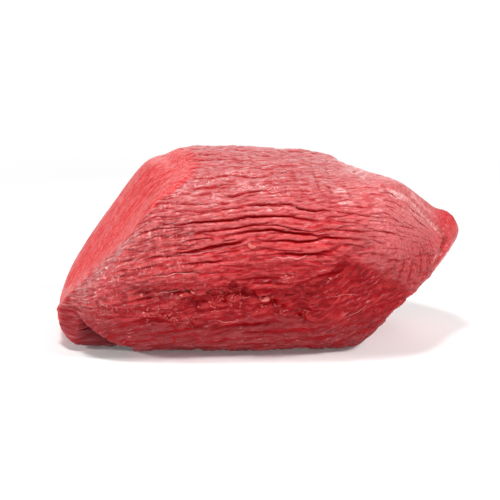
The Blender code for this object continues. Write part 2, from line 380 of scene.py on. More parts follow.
# Splits along the grain: points as (x in mm, degrees up from the front), half width and depth in mm.
SPLIT_WIDTH_SHARE = 0.62
SPLIT_DEPTH_SHARE = 0.9
SPLIT_SHOULDER = 0.25
SPLITS = [
    ([(-34, 62), (-29, 64), (-18, 63.9)], 1.0, 2.0),
    ([(-31, 53.3), (-23, 55.4), (-16, 56), (-5, 53.5), (5, 53.7)], 1.3, 3.2),
    ([(-40, 45.5), (-31, 48.1), (-20, 48.9), (-11, 48.5)], 1.0, 2.2),
    ([(-22, 42.1), (-15, 42.1), (-9, 42.8), (2, 43.2)], 1.1, 2.4),
    ([(-41, 36), (-30, 34.6), (-19, 35)], 0.8, 2.0),
    ([(-58, 32.5), (-45, 30.5), (-36, 30.5), (-25, 29.8), (-16, 29.8), (-8, 30.1), (1, 29.4), (12, 28.4),
      (23, 27.3), (34, 25.6)], 1.0, 3.2),
    ([(-11, 36), (0, 35.3), (7, 34.3), (15, 33.9), (22, 31.8), (31, 30.5), (42, 29.4)], 0.9, 2.8),
    ([(38, 29.8), (47, 28.7), (55, 28), (62, 27), (70, 28), (78, 28.7)], 0.6, 1.7),
    ([(-66, 30.5), (-58, 29.4), (-49, 29.8)], 0.7, 1.5),
    ([(-43, 26), (-31, 25.6), (-22, 25.3), (-16, 25.6), (-7, 25.6), (1, 26), (10, 26.3)], 0.8, 2.2),
    ([(-19, 23.1), (-9, 23.1), (-1, 23.1), (6, 23.1), (10, 22.1), (14, 21), (27, 20.7), (31, 19.2),
      (42, 19.6)], 1.0, 3.6),
    ([(-7, 26), (-1, 25.3), (8, 24.9), (14, 23.1), (27, 21.7), (38, 21)], 0.7, 1.8),
    ([(-50, 18.9), (-39, 18.1), (-35, 18.1), (-27, 18.1), (-21, 18.5), (-15, 18.9),
      (-6, 19.9)], 1.0, 3.6),
    ([(-4, 19.6), (4, 18.1), (17, 17.4), (21, 17), (27, 17.4), (34, 18.1), (44, 17.8),
      (55, 17.4)], 0.9, 2.8),
    ([(7, 12.5), (17, 11.7), (21, 11.3), (31, 11.3), (38, 12.1), (44, 14.4)], 1.0, 3.0),
    ([(42, 14.4), (48, 15.2), (57, 14), (66, 15.2)], 0.6, 1.6),
    ([(50, 10.6), (60, 11), (71, 9.8)], 0.6, 1.6),
    ([(42, 21.4), (53, 21.4), (70, 21.4)], 0.5, 1.2),
    ([(31, 22.1), (49, 21), (57, 21.4), (65, 21), (74, 20.7), (88, 20.7)], 0.6, 1.6),
    ([(57, 31.8), (64, 31.5), (70, 32.5)], 0.5, 1.0),
    ([(-44, 12.9), (-32, 12.1), (-25, 11), (-17, 12.1)], 0.8, 1.8),
    ([(-61, 9.4), (-45, 9), (-31, 7.8)], 0.6, 1.4),
    ([(-59, 0.5), (-47, -0.3), (-35, -0.3)], 0.6, 1.3),
    ([(-30, -26.5), (-21, -26.5), (-12, -27.3), (-1, -28.2), (8, -29.1)], 0.9, 2.6),
    ([(-36, -33.5), (-25, -35.3), (-13, -38.1)], 0.8, 2.0),
    ([(-2, -44), (11, -44), (23, -45)], 0.7, 1.6),
    ([(-11, -32.6), (1, -34.4), (14, -36.3)], 0.8, 2.0),
    ([(-72, -13.2), (-64, -13.2), (-57, -16.1), (-48, -17.6)], 0.7, 1.8),
    ([(-57, -26.5), (-41, -24.8), (-31, -23.2)], 0.7, 1.8),
    ([(-14, 0.9), (-1, 0.9), (14, -0.3)], 0.6, 1.6),
    ([(-5, -1.4), (7, -2.6), (18, -3.2)], 0.6, 1.6),
    ([(21, -2.6), (35, -0.3), (48, 4.2)], 0.8, 2.2),
    ([(60, 8.2), (67, 8.2), (79, 5.7)], 0.6, 1.5),
    ([(72, 27.8), (81, 29.5), (89, 28.8), (96, 26.1)], 0.5, 1.0),
    ([(81, 19.6), (89, 18.5), (94, 16.5)], 0.5, 1.1),
]

# Small dark pits where the surface is torn: x in mm, degrees up from the front, radius and depth in mm.
PITS = [(8, -13.9, 2.0, 3.0), (12.6, -16.5, 1.6, 2.4), (-39, -21.5, 1.4, 2.4), (-41, -24, 1.2, 2.2),
        (22.5, -24, 2.4, 2.6), (26, -27.5, 1.8, 2.2), (-45, -15, 1.0, 1.8), (-54, -11.5, 1.1, 1.8),
        (-20, -9.5, 1.2, 1.8), (-26, -5.5, 1.0, 1.6)]


def split_depth(x, degrees, mm_per_degree, path, half_width, deep, shoulder):
    """Slit and dip of one split, tapering to its ends. The strand above it overhangs, and below it the
    surface comes back slowly, so that the lower lip faces up."""
    route = np.array(path, float)
    middle = np.interp(x, route[:, 0], route[:, 1])
    above = (degrees - middle) * mm_per_degree
    half = (route[-1, 0] - route[0, 0]) / 2
    taper = np.clip(1 - np.abs((x - route[0, 0] - half) / half) ** 2.5, 0, 1)
    slit = np.exp(-(np.abs(above) / half_width) ** 1.8)
    dip = shoulder * np.exp(-np.where(above > 0, above / (1.2 * half_width), -above / (4.5 * half_width)))
    return deep * taper * slit, deep * taper * dip


def drop_below(height_over_edge, drop, wall, back):
    """A step: nothing above the edge, the full drop within the wall below it, then a slow return."""
    below = np.maximum(-height_over_edge, 0)
    return drop * smooth_step(below, 0, wall) * bell(below, back)


surface, ray, along, around = body_grid()
ends = np.sin(along)[:, None] * np.ones(RING)
degrees = np.degrees((around + np.pi / 2) % (2 * np.pi) - np.pi / 2)[None, :] * np.ones((STATIONS + 1, 1))
x_mm = surface[..., 0] * 1000
z_mm = surface[..., 2] * 1000
in_front = smooth_step(-surface[..., 1] * 1000, 20, 34)

# Fibre coordinates run along the grain in x and round the muscle at its mean radius, so noise has no seam.
# Towards the tip they become the plain place, since the strands there run on level instead of closing in.
MEAN_RADIUS = 62.0
own_place = smooth_step(x_mm, 45, 85)
round_place = MEAN_RADIUS * np.stack([np.cos(around), np.sin(around)], -1)[None, :, :]
plain_place = np.stack([-surface[..., 1] * 1000, z_mm - CORE_Z * 1000 - 6], -1)
section_place = round_place + own_place[..., None] * (plain_place - round_place)
fibre_place = np.concatenate([x_mm[..., None], section_place], -1)

# Under the right face's lower edge another strand of muscle crosses, its grain rising to the right.
valley_height = [corner[2] for corner in VALLEY[::-1]]
past_valley = x_mm - np.interp(z_mm, valley_height, [corner[0] for corner in VALLEY[::-1]])
over_edge = z_mm - np.interp(x_mm, FACE_EDGE_X, FACE_EDGE_HEIGHT)
over_edge = over_edge + 2.0 * lattice_noise(fibre_place, (9, 9, 9), 24)
edge_width = 3.0 + 3.0 * smooth_step(x_mm, 50, 80)
under = smooth_step(-over_edge / edge_width, -0.5, 1.0) * smooth_step(past_valley, -2.0, 2.5) * in_front
lean_place = np.stack([x_mm * cos(UNDER_SLOPE) + z_mm * sin(UNDER_SLOPE), -surface[..., 1] * 1000,
                       z_mm * cos(UNDER_SLOPE) - x_mm * sin(UNDER_SLOPE)], -1)

# Slow unevenness and the larger features, along the rays. The paths are shaken a little, so that nothing
# looks ruled.
SHAKE = 0.0012
waves = np.random.default_rng(11)
lumps = np.zeros(surface.shape[:2])
for turns in (2, 3, 4, 5, 6, 7, 9, 11, 13):
    wave_length = waves.uniform(0.06, 0.13)
    shift = waves.uniform(0, 2 * np.pi, 2)
    lumps += (np.sin(2 * np.pi * surface[..., 0] / wave_length + shift[0])
              * np.sin(turns * around + shift[1]) / turns ** 0.4)
move = lumps * 0.8 * ends ** 2
wobble = np.stack([lattice_noise(surface * 1000, (9, 9, 9), seed) for seed in (25, 26, 27)], -1)
shaken_surface = surface + SHAKE * wobble
for path, deep, half_width in CROSSINGS:
    distance, _ = near_path(shaken_surface, path)
    move -= deep * bell(distance, half_width)

jag = lattice_noise(fibre_place, (7, 30, 30), 15) + 0.5 * lattice_noise(fibre_place, (3, 30, 30), 16)
over_fold = z_mm - np.interp(x_mm, FOLD_X, FOLD_HEIGHT) + 0.8 * jag
fold_ends = smooth_step(x_mm, -105, -100) * smooth_step(-x_mm, 72, 80) * in_front
fold = drop_below(over_fold, 1.0, 1.3, FOLD_BACK) * fold_ends
over_ledge = z_mm - np.interp(x_mm, LEDGE_X, LEDGE_HEIGHT) + 2.4 * jag
ledge_ends = smooth_step(x_mm, -78, -60) * smooth_step(-x_mm, -34, -22) * in_front
ledge = drop_below(over_ledge, 1.0, 1.5, LEDGE_BACK) * ledge_ends
over_low_ledge = z_mm - np.interp(x_mm, LOW_LEDGE_X, LOW_LEDGE_HEIGHT) + 2.0 * jag
low_ledge = drop_below(over_low_ledge, 1.0, 1.2, LOW_LEDGE_BACK) * ledge_ends
move -= FOLD_DROP * fold + LEDGE_DROP * ledge + LOW_LEDGE_DROP * low_ledge
form = surface + ray * (move / 1000)[..., None]

normal = outward(form, ray)
step_round = np.linalg.norm(np.roll(form, -1, 1) - np.roll(form, 1, 1), axis=-1) * 1000
turn_round = np.degrees(np.mod(np.roll(around, -1) - np.roll(around, 1), 2 * np.pi))
mm_per_degree = np.minimum(step_round / turn_round[None, :], 1.6)

# Height along the section in mm from the front's middle, and regions from 0 to 1.
level_mm = degrees * MEAN_RADIUS * np.pi / 180
level_mm = level_mm + own_place * (section_place[..., 1] - level_mm)
cut_edge = np.interp(degrees, CUT_EDGE_DEGREES, CUT_EDGE_X)
cut_edge = cut_edge + 1.6 * lattice_noise(fibre_place, (30, 5, 5), 7)
cut_soft = 1.2 + 6.0 * smooth_step(degrees, 48, 70)
cut_face = smooth_step((cut_edge - x_mm) / cut_soft, -1, 1)
right_face = smooth_step(x_mm + 5 * lattice_noise(fibre_place, (30, 12, 12), 6), 34, 72) * (1 - under)
near_tip = smooth_step(x_mm, 82, 104)
top_face = smooth_step(degrees, 44, 60) * smooth_step(-degrees, -135, -115)
blotches = lattice_noise(fibre_place, (16, 9, 9), 28) + 0.5 * lattice_noise(fibre_place, (8, 5, 5), 29)
below_ledge = smooth_step(-over_ledge, -2.0, 3.0) * ledge_ends
torn = np.clip(np.maximum(ledge * 1.2, 0.55 * below_ledge + 0.35 * blotches * below_ledge), 0, 1)
torn = torn * (1 - smooth_step(-z_mm, -24, -14))
low_front = smooth_step(-level_mm, -17, 8) * smooth_step(z_mm, 0, 12) * in_front
low_band = smooth_step(-z_mm + 4 * lattice_noise(fibre_place, (22, 12, 12), 5), -30, -19) * (1 - 0.6 * fold)
wet_left = smooth_step(-x_mm, 15, 45) * smooth_step(-degrees, -36, -28) * smooth_step(degrees, -14, -4)
seam_side = smooth_step(x_mm, 12, 34) * smooth_step(degrees, 36, 46) * smooth_step(-degrees, -100, -84)
calm = (1 - 0.9 * cut_face) * (1 - 0.70 * right_face) * (1 - 0.85 * near_tip) * (1 - 0.7 * seam_side)


def pillows(place, cell, seed, sharpness, middle):
    """Rounded rises between narrow furrows: the noise without its sign, to a power, less a middle."""
    return np.abs(lattice_noise(place, cell, seed)) ** sharpness - middle


def strand_relief(place, level):
    """Heights in mm of the grain's bundles, wrinkles and crinkles. The bundles are shingles, each with an
    upper strand that overhangs the next."""
    warp = [lattice_noise(place, (14, 10, 10), seed) for seed in (21, 22)]
    strand_place = place + np.stack([0 * level, *warp], -1)

    def shingles(width, wander, seed):
        step = level + wander * lattice_noise(place, (44, 16, 16), seed)
        step = step + 0.35 * wander * lattice_noise(place, (11, 9, 9), seed + 1)
        share = np.mod(step / width, 1.0)
        tall = np.clip(0.45 + 0.85 * lattice_noise(place, (22, 8, 8), seed + 2), 0, 1.2)
        return tall * (smooth_step(share, 0, 0.16) * (1 - share ** 1.4) - 0.4)

    bundles = 0.55 * shingles(6.0, 5.0, 81) * (1 - 0.75 * top_face) + 0.50 * shingles(2.9, 3.2, 85)
    wrinkles = (0.35 * pillows(strand_place, (18, 3.2, 3.2), 31, 0.6, 0.6)
                + 0.60 * pillows(strand_place, (8, 1.9, 1.9), 32, 0.7, 0.55))
    crinkles = 0.70 * pillows(strand_place, (4, 1.3, 1.3), 33, 0.8, 0.5)
    return bundles, wrinkles, crinkles


bundles, wrinkles, crinkles = strand_relief(fibre_place, level_mm)
lean_bundles, lean_wrinkles, lean_crinkles = strand_relief(lean_place, lean_place[..., 2])
bundles = bundles * (1 - under) + 0.8 * lean_bundles * under
wrinkles = wrinkles * (1 - under) + lean_wrinkles * under
crinkles = crinkles * (1 - under) + lean_crinkles * under

front_share = calm * (1 - 0.85 * torn) * (1 - 0.5 * low_band)
fine = bundles * front_share + wrinkles * calm * (1 - 0.4 * torn) + crinkles * np.clip(calm + 0.25, 0, 1)
fine += 2.2 * blotches * torn
fine += 2.2 * pillows(fibre_place, (6.0, 3.4, 3.4), 41, 0.8, 0.45) * np.clip(1.3 * ledge, 0, 1)
fine += 0.9 * lattice_noise(fibre_place, (2.8, 1.8, 1.8), 42) * np.clip(ledge + 0.4 * low_ledge, 0, 1)
fine += 1.5 * pillows(fibre_place, (14, 4, 4), 44, 0.8, 0.45) * np.maximum(low_band, low_front)
fine += 1.2 * pillows(lean_place, (16, 6, 6), 46, 0.8, 0.45) * under
fine += 0.16 * lattice_noise(fibre_place, (2.2, 1.1, 1.1), 43) * (1 - 0.6 * cut_face)
fine += 0.42 * lattice_noise(fibre_place, (2.6, 8, 8), 45) * wet_left
for crease in CREASES:
    distance, _ = near_path(shaken_surface, crease)
    fine -= CREASE_DEEP * bell(distance, CREASE_HALF)

depth = np.zeros_like(x_mm)
dips = np.zeros_like(x_mm)
shaken = degrees + 0.5 * lattice_noise(fibre_place, (7, 30, 30), 51)
for path, half_width, deep in SPLITS:
    uneven = 1.0 + 0.4 * lattice_noise(fibre_place, (9, 40, 40), int(deep * 100))
    slit, dip = split_depth(x_mm, shaken, mm_per_degree, path, SPLIT_WIDTH_SHARE * half_width,
                            SPLIT_DEPTH_SHARE * deep, SPLIT_SHOULDER)
    depth = np.maximum(depth, slit * uneven * (1 - 0.5 * right_face))
    dips = np.maximum(dips, dip * (1 - 0.5 * right_face))

for x_at, turn_at, radius, deep in PITS:
    across = (degrees - turn_at) * mm_per_degree
    depth = np.maximum(depth, deep * np.exp(-((x_mm - x_at) ** 2 + (1.4 * across) ** 2) / radius ** 2))

# Short splits that open between the long ones, thick on the front and top, sparse on the smooth right face.
SMALL_SPLITS = 760
FACE_SPLITS = 110
draw = np.random.default_rng(77)
row_x = x_mm.mean(1)
for k in range(SMALL_SPLITS + FACE_SPLITS):
    on_face = k >= SMALL_SPLITS
    x_at = draw.uniform(50, 100) if on_face else draw.uniform(-80, 96)
    turn_at = draw.uniform(-6, 44) if on_face else draw.uniform(-8, 105)
    half_length = draw.uniform(2.5, 8) if on_face else draw.uniform(3.5, 14)
    slant = draw.normal(0, 0.8)
    half_width = draw.uniform(0.26, 0.40)
    deep = draw.uniform(0.3, 1.3)
    rows = np.nonzero(np.abs(row_x - x_at) < 60)[0]
    near = slice(rows[0], rows[-1] + 1)
    path = [(x_at - half_length, turn_at - slant), (x_at, turn_at + draw.normal(0, 0.3)),
            (x_at + half_length, turn_at + slant)]
    slit, dip = split_depth(x_mm[near], shaken[near], mm_per_degree[near], path, half_width, deep, 0.30)
    keep = (1 - under[near]) * (1 if on_face else calm[near] * (1 - 0.6 * torn[near]))
    keep = keep * (0.35 + 0.65 * smooth_step(level_mm[near], 8, 18))
    depth[near] = np.maximum(depth[near], slit * keep)
    dips[near] = np.maximum(dips[near], dip * keep)

fade_ends = smooth_step(ends, 0.05, 0.22)
fine = (fine - depth - dips) * fade_ends
body = form + normal * (fine / 1000)[..., None]

# How far each point stands above or below the mean of its neighbours. The colour follows it as painted
# light: a painted highlight on the crests and painted shade in the crevices.
CREST_COLUMNS = 5
CREST_ROWS = 2
CREST_FULL = 0.4
around_mean = fine
for reach, axis in ((CREST_COLUMNS, 1), (CREST_ROWS, 0)):
    around_mean = sum(np.roll(around_mean, k, axis) for k in range(-reach, reach + 1)) / (2 * reach + 1)
relief_light_shade = np.clip((fine - around_mean) / CREST_FULL, -1, 1) * fade_ends

# The loosened lip of the fold hangs over its hollow.
LIP_DROP = 0.0025
LIP_FORWARD = 0.0015
LIP_REACH = 5.0
lip = smooth_step(over_fold, -0.5, 1.5) * bell(np.maximum(over_fold, 0), LIP_REACH) * fold_ends
body[..., 2] -= LIP_DROP * lip
body[..., 1] -= LIP_FORWARD * lip

low, high = body.min((0, 1)), body.max((0, 1))
scale = LENGTH / (high[0] - low[0])
body = (body - [(low[0] + high[0]) / 2, (low[1] + high[1]) / 2, low[2]]) * scale
body[..., 2] = np.maximum(body[..., 2] - SAG, 0.0)


def ring_quads(rings, sides, first):
    """Corner numbers of the quads that join closed rings of vertices in turn, from a first vertex on."""
    step = np.arange(rings - 1)[:, None] * sides + first
    near = np.arange(sides)
    far = (near + 1) % sides
    return np.stack([step + near, step + sides + near, step + sides + far, step + far], -1).reshape(-1, 4)


def closed_mesh(name, grid):
    """Rows of a closed grid become quads, with one vertex and a fan of triangles at each end."""
    rows, columns = grid.shape[0] - 1, grid.shape[1]
    vertices = np.concatenate([grid[:1, 0], grid[1:-1].reshape(-1, 3), grid[-1:, 0]])
    left = np.arange(columns)
    right = (left + 1) % columns
    fan_start = np.stack([np.zeros(columns, int), 1 + left, 1 + right], -1)
    last_row = 1 + (rows - 2) * columns
    end = len(vertices) - 1
    fan_end = np.stack([np.full(columns, end), last_row + right, last_row + left], -1)
    mesh = bpy.data.meshes.new(name)
    faces = fan_start.tolist() + ring_quads(rows - 1, columns, 1).tolist() + fan_end.tolist()
    mesh.from_pydata(vertices.tolist(), [], faces)
    mesh.polygons.foreach_set("use_smooth", np.ones(len(mesh.polygons), bool))
    mesh.update()
    return mesh


def point_values(mesh, name, grid):
    """Stores one number or vector for each vertex, taken from a grid laid out as the mesh's own."""
    flat = np.concatenate([grid[:1, 0], grid[1:-1].reshape((-1,) + grid.shape[2:]), grid[-1:, 0]])
    kind = "FLOAT" if grid.ndim == 2 else "FLOAT_VECTOR"
    layer = mesh.attributes.new(name, kind, "POINT")
    layer.data.foreach_set("value" if grid.ndim == 2 else "vector", flat.astype(np.float32).ravel())


# Pale film of silverskin, from 0 to 1: narrow on the seam, in threads beside it, faint on the strip behind
# it, and in patches on the scrap of fat. The patches on the ridge are painted glints in the same pale
# colour.
# Each bell's reach is in mm.
seam_distance, seam_gone = near_path(surface, SEAM)
ridge_distance, _ = near_path(surface, LEFT_RIDGE)
strip_distance, _ = near_path(surface, STRIP)
fat_distance, _ = near_path(surface, FAT_PATCH)
patchy = smooth_step(lattice_noise(fibre_place, (2.4, 1.5, 1.5), 61), -0.25, 0.35)
along_seam = np.stack([seam_gone * 120, seam_distance, 0 * seam_distance], -1)
seam_threads = smooth_step(lattice_noise(along_seam, (16, 1.7, 9), 62), 0.05, 0.45)
film_and_glints = 0.75 * bell(seam_distance, 1.3) * smooth_step(seam_gone, 0.15, 0.35)
film_and_glints = film_and_glints + 0.45 * seam_threads * bell(seam_distance, 7.0) * smooth_step(-seam_gone, -0.75, -0.5)
film_and_glints = film_and_glints + 0.30 * bell(strip_distance, 6.0) * (1 - near_tip)
# On the ridge the pale patches are painted glints.
film_and_glints = film_and_glints + 0.75 * bell(ridge_distance, 3.2) * patchy * smooth_step(x_mm, -92, -76)
film_and_glints = film_and_glints + 0.70 * bell(fat_distance, 4.0) * patchy

# Painted shade in the hollow under the fold, the wettest places, the smooth right face and the top, from 0
# to 1.
hollow_shade = drop_below(over_fold, 1.5, 0.8, 14.0) * fold_ends
near_ridge = bell(ridge_distance, 15.0)
glint = wet_left * (0.25 + 0.75 * near_ridge) + 0.8 * film_and_glints * smooth_step(-x_mm, 10, 30)
calm_face = right_face * (1 - 0.7 * smooth_step(x_mm, 98, 106))
top_side = smooth_step(degrees, 12, 50) * smooth_step(-degrees, -135, -115)

# On the knife-cut face the streaks run straight up its slope, as the blade drew them.
cut_normal = facing(*CRISP_FACES["left_cut"][:2])
up_slope = np.array([0.0, 0.0, 1.0]) - cut_normal[2] * cut_normal
up_slope = up_slope / np.linalg.norm(up_slope)
cut_axes = np.stack([up_slope, np.cross(cut_normal, up_slope), cut_normal], -1)
cross_place = np.where(x_mm[..., None] < 0, surface @ cut_axes * 1000, lean_place)

muscle_mesh = closed_mesh("lean_muscle", body)
regions = {
    "grain": fibre_place / 1000,
    "split": smooth_step(depth, 0.35, 1.6) * fade_ends,
    "cut_face": cut_face,
    "torn": torn,
    "low_band": low_band * (1 - cut_face),
    "film_and_glints": np.clip(film_and_glints, 0, 1),
    "hollow_shade": np.clip(hollow_shade, 0, 1),
    "wet": wet_left,
    "calm_face": calm_face,
    "glint": np.clip(glint, 0, 1),
    "under": under,
    "relief_light_shade": relief_light_shade,
    "low_front": np.maximum(low_front, under),
    "top_film_and_sheen": top_side * (1 - cut_face) * (1 - near_tip),
    "cross_grain": cross_place / 1000,
}
for name, grid in regions.items():
    point_values(muscle_mesh, name, grid)
muscle = placed("lean_muscle", muscle_mesh)


def read_attribute(nodes, name):
    """A node that reads one of the mesh's own stored values."""
    reader = nodes.new("ShaderNodeAttribute")
    reader.attribute_name = name
    return reader


def stretched_noise(nodes, links, vector, cells, detail, rough):
    """Noise whose cell is given in mm along the grain and across it."""
    fit = nodes.new("ShaderNodeMapping")
    fit.inputs["Scale"].default_value = tuple(1000.0 / c for c in cells)
    links.new(vector, fit.inputs["Vector"])
    noise = nodes.new("ShaderNodeTexNoise")
    noise.inputs["Scale"].default_value = 1.0
    noise.inputs["Detail"].default_value = detail
    noise.inputs["Roughness"].default_value = rough
    links.new(fit.outputs["Vector"], noise.inputs["Vector"])
    return noise.outputs["Fac"]


def blend_colours(nodes, links, share, under, over):
    """Mix of two colours, each a socket or a plain colour, by a share that is a socket or a number."""
    mix = nodes.new("ShaderNodeMix")
    mix.data_type = "RGBA"
    for socket, value in ((mix.inputs["Factor"], share), (mix.inputs["A"], under), (mix.inputs["B"], over)):
        if hasattr(value, "is_linked"):
            links.new(value, socket)
        else:
            socket.default_value = value
    return mix.outputs["Result"]


def sums(nodes, links, kind, one, two):
    """One arithmetic step between two values, each a socket or a number."""
    step = nodes.new("ShaderNodeMath")
    step.operation = kind
    for socket, value in zip(step.inputs, (one, two)):
        if hasattr(value, "is_linked"):
            links.new(value, socket)
        else:
            socket.default_value = value
    return step.outputs["Value"]


def bent_normal(nodes, links, height, distance, strength):
    """The normal bent by a height, whose full step stands for the distance in metres."""
    bump = nodes.new("ShaderNodeBump")
    bump.inputs["Strength"].default_value = strength
    bump.inputs["Distance"].default_value = distance
    links.new(height, bump.inputs["Height"])
    return bump.outputs["Normal"]


DEEP_RED = (0.34, 0.004, 0.008, 1.0)
LEAN_RED = (0.56, 0.014, 0.020, 1.0)
PALE_FIBRE = (0.72, 0.12, 0.12, 1.0)
CUT_PINK = (0.62, 0.026, 0.030, 1.0)
CUT_PALE = (0.80, 0.14, 0.14, 1.0)
THREAD_PALE = (0.80, 0.34, 0.37, 1.0)
SPLIT_SHADE = (0.42, 0.002, 0.005, 1.0)
HOLLOW_SHADE = (0.05, 0.002, 0.004, 1.0)
SHADE_RED = (0.06, 0.004, 0.006, 1.0)
FILM_AND_SHEEN_PINK = (0.52, 0.15, 0.155, 1.0)
SKIN_AND_GLINT_WHITE = (0.92, 0.58, 0.56, 1.0)
TORN_RED = (0.40, 0.006, 0.010, 1.0)
TORN_GREY = (0.36, 0.050, 0.070, 1.0)
LOW_BROWN = (0.22, 0.018, 0.022, 1.0)
LOW_GREY = (0.32, 0.058, 0.068, 1.0)
BLOT_DARK = (0.16, 0.003, 0.008, 1.0)
BLOT_PALE = (0.62, 0.060, 0.058, 1.0)
FIBRE_BUMP = 0.0022
WET_BUMP = 0.0007


def muscle_finish():
    """Moist lean beef: strands of deep and pale red along the grain, a pinker cut face, pale film along the
    seam, and a thin wet layer broken by the fibres. Painted into the colour: shade in the splits, the
    hollow and the lower front, highlights on the crests, glints on the ridge and the wet places, and sheen
    on the top."""
    material, shader, nodes, links = shader_material("lean_beef_surface")

    def stored(name):
        return read_attribute(nodes, name).outputs["Fac"]

    def times(one, two):
        return sums(nodes, links, "MULTIPLY", one, two)

    def plus(one, two):
        return sums(nodes, links, "ADD", one, two)

    def over(share, under, top):
        return blend_colours(nodes, links, share, under, top)

    def fit(value, low, high, to_low=0.0, to_high=1.0):
        return spread(nodes, links, value, low, high, to_low, to_high)

    grain = read_attribute(nodes, "grain").outputs["Vector"]
    cross_grain = read_attribute(nodes, "cross_grain").outputs["Vector"]
    where = nodes.new("ShaderNodeTexCoord").outputs["Object"]

    def grained(cells, detail, rough):
        """Noise along the grain, but in their own directions on the cut face and the crossing strand."""
        own = stretched_noise(nodes, links, grain, cells, detail, rough)
        crossing = stretched_noise(nodes, links, cross_grain, cells, detail, rough)
        share = plus(stored("under"), stored("cut_face"))
        return plus(times(own, plus(1.0, times(share, -1.0))), times(crossing, share))

    strands = grained((9, 1.9, 1.9), 3.0, 0.65)
    threads = grained((4, 1.1, 1.1), 2.0, 0.60)
    clouds = stretched_noise(nodes, links, where, (20, 14, 14), 3.0, 0.6)
    specks = stretched_noise(nodes, links, where, (1.9, 1.5, 1.5), 3.0, 0.7)
    drops = stretched_noise(nodes, links, where, (1.6, 1.2, 1.2), 2.0, 0.5)
    blots = grained((5.0, 2.2, 2.2), 3.0, 0.70)
    glint_speck_noise = stretched_noise(nodes, links, grain, (1.2, 2.2, 2.2), 2.0, 0.6)
    dash_noise = stretched_noise(nodes, links, grain, (5.0, 0.9, 0.9), 2.0, 0.5)
    ripples = stretched_noise(nodes, links, grain, (1.4, 6.0, 6.0), 2.0, 0.6)
    relief_light_shade = stored("relief_light_shade")

    tone = plus(plus(times(strands, 0.34), times(threads, 0.30)),
                plus(times(clouds, 0.20), times(specks, 0.16)))
    red = over(fit(tone, 0.40, 0.56), DEEP_RED, LEAN_RED)
    red = over(fit(tone, 0.54, 0.66, 0.0, 0.70), red, PALE_FIBRE)
    # Painted highlight: the crests are made paler.
    red = over(fit(relief_light_shade, 0.05, 0.9, 0.0, 0.50), red, PALE_FIBRE)
    cut_tone = plus(times(strands, 0.4), plus(times(threads, 0.4), times(specks, 0.2)))
    cut_red = over(fit(cut_tone, 0.45, 0.58), CUT_PINK, CUT_PALE)
    # The top made paler: partly its dry film, partly painted sheen.
    red = over(times(stored("top_film_and_sheen"), fit(threads, 0.38, 0.60, 0.30, 1.0)), red, FILM_AND_SHEEN_PINK)
    # The smooth right face takes the cut face's pinker colour, then a paler pink that is partly painted
    # sheen.
    red = over(times(stored("calm_face"), 0.60), red, cut_red)
    red = over(times(stored("calm_face"), 0.48), red, FILM_AND_SHEEN_PINK)
    red = over(stored("cut_face"), red, cut_red)
    red = over(times(stored("torn"), fit(clouds, 0.38, 0.62, 0.9, 0.2)), red, TORN_RED)
    red = over(times(stored("torn"), fit(clouds, 0.55, 0.68, 0.0, 0.5)), red, TORN_GREY)
    # Painted shade: the lower front and the strand under the right face are darkened, the strand also to a
    # deeper red by its tone.
    red = over(times(stored("under"), fit(tone, 0.42, 0.58, 0.95, 0.45)), red, TORN_RED)
    red = over(times(stored("low_front"), 0.36), red, SHADE_RED)
    # Painted highlight: on the lower front the crests are made a lighter red.
    red = over(times(stored("low_front"), fit(relief_light_shade, 0.05, 0.7, 0.0, 0.40)), red, LEAN_RED)
    red = over(times(stored("low_front"), fit(blots, 0.52, 0.64, 0.0, 0.70)), red, BLOT_DARK)
    red = over(times(stored("low_front"), fit(blots, 0.47, 0.36, 0.0, 0.45)), red, BLOT_PALE)
    red = over(times(stored("low_band"), 0.70), red, over(fit(strands, 0.42, 0.60), LOW_BROWN, LOW_GREY))
    red = over(times(fit(threads, 0.60, 0.70), fit(clouds, 0.35, 0.60, 0.10, 0.40)), red, THREAD_PALE)
    # Pale silverskin film on the seam and strip, and painted glints on the ridge.
    red = over(times(stored("film_and_glints"), fit(strands, 0.38, 0.58, 0.1, 1.0)), red, SKIN_AND_GLINT_WHITE)
    # Painted shade: the crevices are made deep red.
    red = over(fit(relief_light_shade, -0.05, -0.9, 0.0, 0.90), red, DEEP_RED)
    # Painted glints: pale specks in the wet places and on the ridge.
    painted_glint_share = times(times(stored("glint"), fit(clouds, 0.42, 0.60, 0.25, 0.9)), fit(glint_speck_noise, 0.58, 0.70))
    red = over(painted_glint_share, red, SKIN_AND_GLINT_WHITE)
    # Painted highlights: fine pale dashes along the grain on the top and in the wet places.
    painted_highlight_dashes = times(plus(times(stored("top_film_and_sheen"), 0.40), times(stored("glint"), 0.45)),
                       fit(dash_noise, 0.58, 0.70))
    red = over(painted_highlight_dashes, red, SKIN_AND_GLINT_WHITE)
    # Painted shade: the splits are darkened.
    red = over(times(stored("split"), 0.92), red, SPLIT_SHADE)
    # Painted shade: the hollow under the fold is darkened almost to black.
    red = over(times(stored("hollow_shade"), 0.95), red, HOLLOW_SHADE)
    links.new(red, shader.inputs["Base Color"])

    roughness = plus(fit(threads, 0.35, 0.65, 0.30, 0.52), times(stored("split"), 0.3))
    links.new(roughness, shader.inputs["Roughness"])
    shader.inputs["Specular IOR Level"].default_value = 0.04
    shader.inputs["Subsurface Weight"].default_value = 0.08
    shader.inputs["Subsurface Radius"].default_value = (1.0, 0.20, 0.12)
    shader.inputs["Subsurface Scale"].default_value = 0.0015
    dry = plus(times(stored("low_front"), 0.40),
               plus(times(stored("cut_face"), 0.18), times(stored("split"), 0.2)))
    wet = plus(plus(0.50, times(stored("glint"), 0.50)), times(dry, -1.0))
    links.new(wet, shader.inputs["Coat Weight"])
    shader.inputs["Coat Roughness"].default_value = 0.12
    shader.inputs["Coat IOR"].default_value = 1.5

